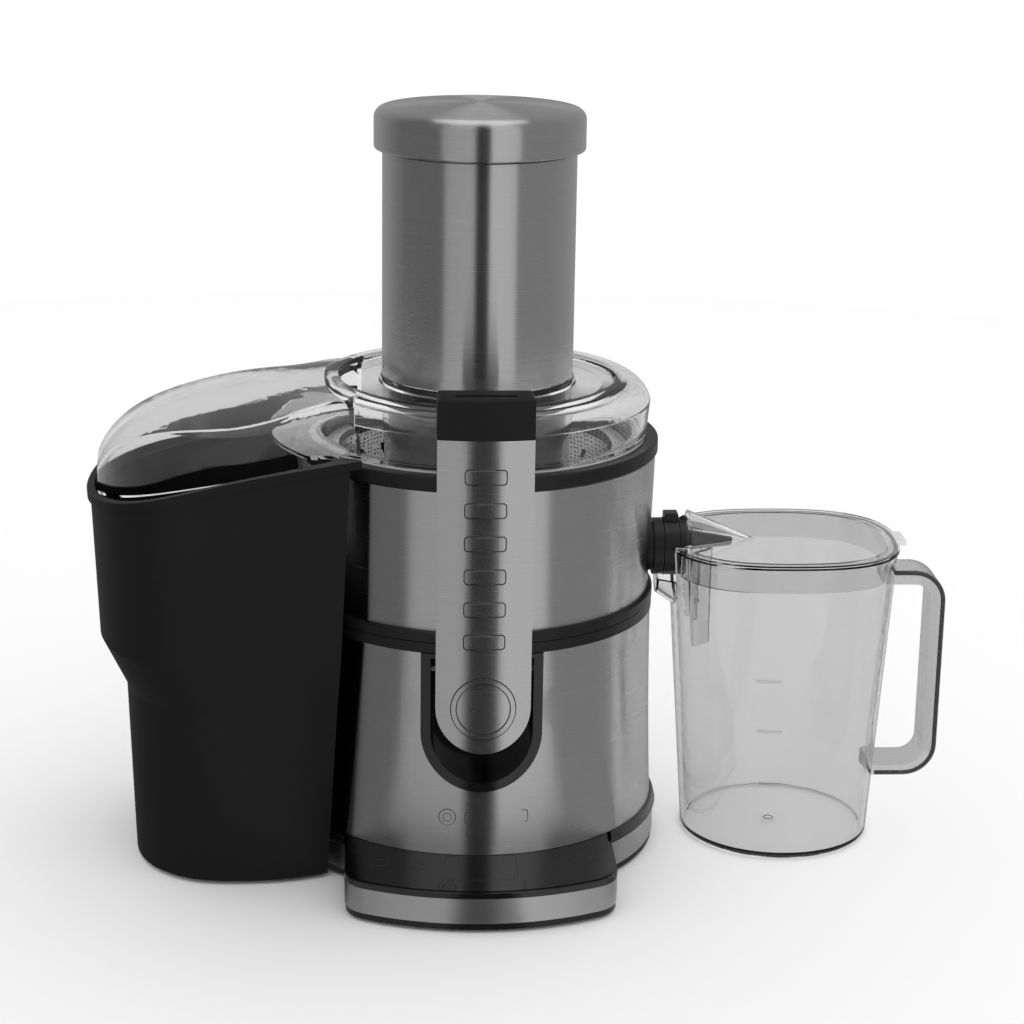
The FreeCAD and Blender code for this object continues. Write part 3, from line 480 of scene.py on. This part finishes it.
ARM_BARS = 6
ARM_BAR_PITCH = 15.6 * MM
ARM_BAR_DROP = 94.8 * MM             # lowest bar, below the top of the face plate
ARM_BAR_SIZE = (18.0 * MM, 6.0 * MM)
ARM_BAR_MARGIN = 0.9 * MM
ARM_BAR_CORNER = 1.6 * MM
ARM_BAR_BEAD, ARM_RING_BEAD = 0.28 * MM, 0.24 * MM
ARM_RING_R, ARM_RING_HALF = 13.8 * MM, 1.3 * MM
ARM_RING_RISE = 22.0 * MM            # ring's centre, above the lower end of the face plate
ARM_SURFACE_R = 98.8 * MM


def make_arm_relief_shade():
    """Dark beads that outline the raised bars and the raised ring of the locking arm: painted shade in
    the creases round the steel relief.
    """
    low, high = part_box("arm_face_plate")
    first = high.z - ARM_BAR_DROP
    width, height = ARM_BAR_SIZE
    bar = rounded_outline(width + ARM_BAR_MARGIN, height + ARM_BAR_MARGIN, ARM_BAR_CORNER)
    work = bmesh.new()
    for i in range(ARM_BARS):
        drum_loop(work, bar, first + i * ARM_BAR_PITCH, ARM_SURFACE_R, ARM_BAR_BEAD)
    for radius in (ARM_RING_R - ARM_RING_HALF, ARM_RING_R + ARM_RING_HALF):
        ring = circle(radius, 72)
        drum_loop(work, ring, low.z + ARM_RING_RISE, ARM_SURFACE_R, ARM_RING_BEAD)
    place_piece("arm_relief_painted_shade", work, "gloss_black", "locking_arm")


BADGE_RING_PLACE, BADGE_BAR_PLACE = -15.9 * MM, 7.5 * MM    # across the front of the sleeve
BADGE_RISE = 18.6 * MM                                      # above the sleeve's lower edge
BADGE_RING_R = 4.0 * MM
BADGE_BAR_SIZE = (30.0 * MM, 6.0 * MM)
BADGE_BAR_CORNER = 1.4 * MM
BADGE_BEAD, BADGE_FINE_BEAD = 0.2 * MM, 0.16 * MM
SLEEVE_WAIST, SLEEVE_TAPER = 1.8 * MM, 2.6 * MM             # sleeve's radius lost halfway and at the top


def shifted(outline, dx, dy=0.0):
    return [(x + dx, y + dy) for x, y in outline]


def sleeve_radius(rise):
    """Outer radius of the flared lower sleeve at a height above its lower edge."""
    low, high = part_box("lower_steel_sleeve")
    foot, middle, top = high.x, high.x - SLEEVE_WAIST, high.x - SLEEVE_TAPER
    share = rise / (high.z - low.z)
    bend = 2.0 * (foot + top - 2.0 * middle)
    return foot + share * (4.0 * middle - 3.0 * foot - top) + share ** 2 * bend


def make_badge():
    """Blank badge pressed into the lower sleeve: a double ring and a plain bar, outlined by darker steel
    beads that paint the shade along the pressed edges.
    """
    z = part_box("lower_steel_sleeve")[0].z + BADGE_RISE
    radius = sleeve_radius(BADGE_RISE)
    ring = shifted(circle(BADGE_RING_R), BADGE_RING_PLACE)
    dot = shifted(circle(0.5 * BADGE_RING_R, 24), BADGE_RING_PLACE)
    bar = shifted(rounded_outline(*BADGE_BAR_SIZE, BADGE_BAR_CORNER), BADGE_BAR_PLACE)
    work = bmesh.new()
    for outline, bead in ((ring, BADGE_BEAD), (dot, BADGE_FINE_BEAD), (bar, BADGE_BEAD)):
        drum_loop(work, outline, z, radius, bead)
    place_piece("sleeve_badge_painted_shade", work, "steel_painted_shade", "root")


PANEL_SLOPE = 2.3 / 35.0
PANEL_INNER_R = 89.6 * MM
ICON_R = 3.4 * MM
ICON_BEAD = 0.14 * MM
ICON_DASH = (1.6 * MM, 0.7 * MM)      # height and corner of a dash
WINDOW_SIZE = (33.0 * MM, 24.0 * MM)
# places of the marks on the panel, across and towards the back
RING_PLACE, DOUBLE_RING_PLACE = (-46.9 * MM, -94.1 * MM), (-29.7 * MM, -99.0 * MM)
WINDOW_PLACE = (0.0, -101.5 * MM)
DASH_PLACE, SHORT_DASH_PLACE = (32.8 * MM, -98.2 * MM), (48.9 * MM, -90.6 * MM)
DOT_PLACES = ((43.4 * MM, -91.6 * MM), (54.2 * MM, -89.4 * MM))


def on_panel(outline):
    """Points and normals on the sloping touch panel under a plan outline."""
    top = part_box("control_panel")[1].z
    points = []
    normals = []
    for x, y in outline:
        reach = math.hypot(x, y)
        points.append(Vector((x, y, top - (reach - PANEL_INNER_R) * PANEL_SLOPE)))
        normals.append(Vector((x / reach * PANEL_SLOPE, y / reach * PANEL_SLOPE, 1.0)).normalized())
    return points, normals


def make_panel_marks():
    """Plain touch marks: two rings, a window frame, a dash and a bar between two dots."""
    outlines = [
        shifted(circle(ICON_R), *RING_PLACE),
        shifted(circle(ICON_R), *DOUBLE_RING_PLACE),
        shifted(circle(0.4 * ICON_R, 20), *DOUBLE_RING_PLACE),
        shifted(rounded_outline(*WINDOW_SIZE, 2.0 * MM), *WINDOW_PLACE),
        shifted(rounded_outline(9.0 * MM, *ICON_DASH), *DASH_PLACE),
        shifted(rounded_outline(7.0 * MM, *ICON_DASH), *SHORT_DASH_PLACE),
    ]
    outlines += [shifted(circle(0.9 * MM, 16), *place) for place in DOT_PLACES]
    work = bmesh.new()
    for outline in outlines:
        points, normals = on_panel(outline)
        tube_loop(work, points, normals, ICON_BEAD, 6)
    place_piece("panel_marks", work, "panel_mark", "root")


# the jug's wall runs from a circle at the foot to a rounded oblong at the rim
JUG_FOOT_X, JUG_RIM_X = -54.7 * MM, -56.4 * MM       # axis, measured from the jug's far end
JUG_FOOT_R = 47.0 * MM
JUG_RIM_A, JUG_RIM_B = 56.2 * MM, 49.0 * MM
TICK_HEIGHTS = (40.6, 68.0, 94.0)
TICK_FROM, TICK_TO = 254, 267                        # degrees from +X, anticlockwise
TICK_DEPTH, TICK_BEAD = 0.9 * MM, 0.12 * MM
GATE_R, GATE_BEAD = 2.4 * MM, 0.35 * MM
GATE_SHIFT = 2.0 * MM                                # towards the juicer from the axis
JUG_FLOOR_Z = 3.0 * MM
FOOT_LINE_Z, FOOT_LINE_INSET, FOOT_LINE_R = 1.5 * MM, 0.9 * MM, 0.65 * MM
RIM_SQUARENESS = 0.6


def jug_wall(height, count=96):
    """Points and outward normals round the jug at a height above the table."""
    low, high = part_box("jug")
    share = (height - low.z) / (high.z - low.z)
    x = high.x + JUG_FOOT_X + share * (JUG_RIM_X - JUG_FOOT_X)
    a = JUG_FOOT_R + share * (JUG_RIM_A - JUG_FOOT_R)
    b = JUG_FOOT_R + share * (JUG_RIM_B - JUG_FOOT_R)
    power = 2.0 / (2.0 + RIM_SQUARENESS * share)
    points = []
    normals = []
    for i in range(count):
        c = math.cos(2.0 * math.pi * i / count)
        s = math.sin(2.0 * math.pi * i / count)
        px = x + a * math.copysign(abs(c) ** power, c)
        py = b * math.copysign(abs(s) ** power, s)
        points.append(Vector((px, py, height)))
        normals.append(Vector((c, s, 0.0)))
    return points, normals


def make_jug_foot_painted_shade():
    """Dark line round the jug's thick foot: painted shade, a near-black bead standing in for the dark
    refracted edge of the clear foot.
    """
    points, normals = jug_wall(FOOT_LINE_Z)
    inner = [p - FOOT_LINE_INSET * n for p, n in zip(points, normals)]
    work = bmesh.new()
    tube_loop(work, inner, normals, FOOT_LINE_R)
    place_piece("jug_foot_painted_shade", work, "painted_edge_shade", "juice_jug")


def make_jug_ticks():
    """Measuring ticks on the jug's front, and the moulding gate in its floor."""
    work = bmesh.new()
    for height in TICK_HEIGHTS:
        points, normals = jug_wall(height * MM, 360)
        top = points[TICK_FROM:TICK_TO]
        tick = top + [p - Vector((0.0, 0.0, TICK_DEPTH)) for p in reversed(top)]
        tube_loop(work, tick, [FRONT] * len(tick), TICK_BEAD, 6)
    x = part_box("jug")[1].x + JUG_FOOT_X - GATE_SHIFT
    gate = [Vector((x + px, py, JUG_FLOOR_Z)) for px, py in circle(GATE_R, 24)]
    tube_loop(work, gate, [UP] * len(gate), GATE_BEAD, 6)
    place_piece("jug_ticks", work, "clear_thick", "juice_jug")


HANDLE_REACH, HANDLE_LOW_REACH = 25.0 * MM, 29.5 * MM    # length of the handle's level runs
HANDLE_CORNER = 16.0 * MM
HANDLE_LINE_R, HANDLE_LINE_INSET = 1.1 * MM, 1.2 * MM
CORNER_STEPS = 8


def make_handle_edge_shade():
    """Dark outer edge of the clear handle, along its front face: painted shade, a near-black bead
    standing in for its dark refracted edge.
    """
    low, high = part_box("jug_handle")
    corner = HANDLE_CORNER - HANDLE_LINE_INSET
    right = high.x - HANDLE_LINE_INSET
    bottom, top = low.z + HANDLE_LINE_INSET, high.z - HANDLE_LINE_INSET
    path = [(right - HANDLE_REACH, top)]
    for first, centre_z in ((90.0, top - corner), (0.0, bottom + corner)):
        for i in range(CORNER_STEPS + 1):
            angle = math.radians(first - 90.0 * i / CORNER_STEPS)
            x = right - corner + corner * math.cos(angle)
            path.append((x, centre_z + corner * math.sin(angle)))
    path.append((right - HANDLE_LOW_REACH, bottom))
    points = [Vector((x, low.y + 0.5 * HANDLE_LINE_R, z)) for x, z in path]
    work = bmesh.new()
    tube_path(work, points, [FRONT] * len(points), HANDLE_LINE_R)
    place_piece("handle_edge_painted_shade", work, "painted_edge_shade", "juice_jug")


def build_all():
    make_handle_edge_shade()
    make_arm_relief_shade()
    make_badge()
    make_panel_marks()
    make_jug_foot_painted_shade()
    make_jug_ticks()


# ---------------------------------------------------------------- build

make_camera()
paint_nodes()
make_studio()
build_all()
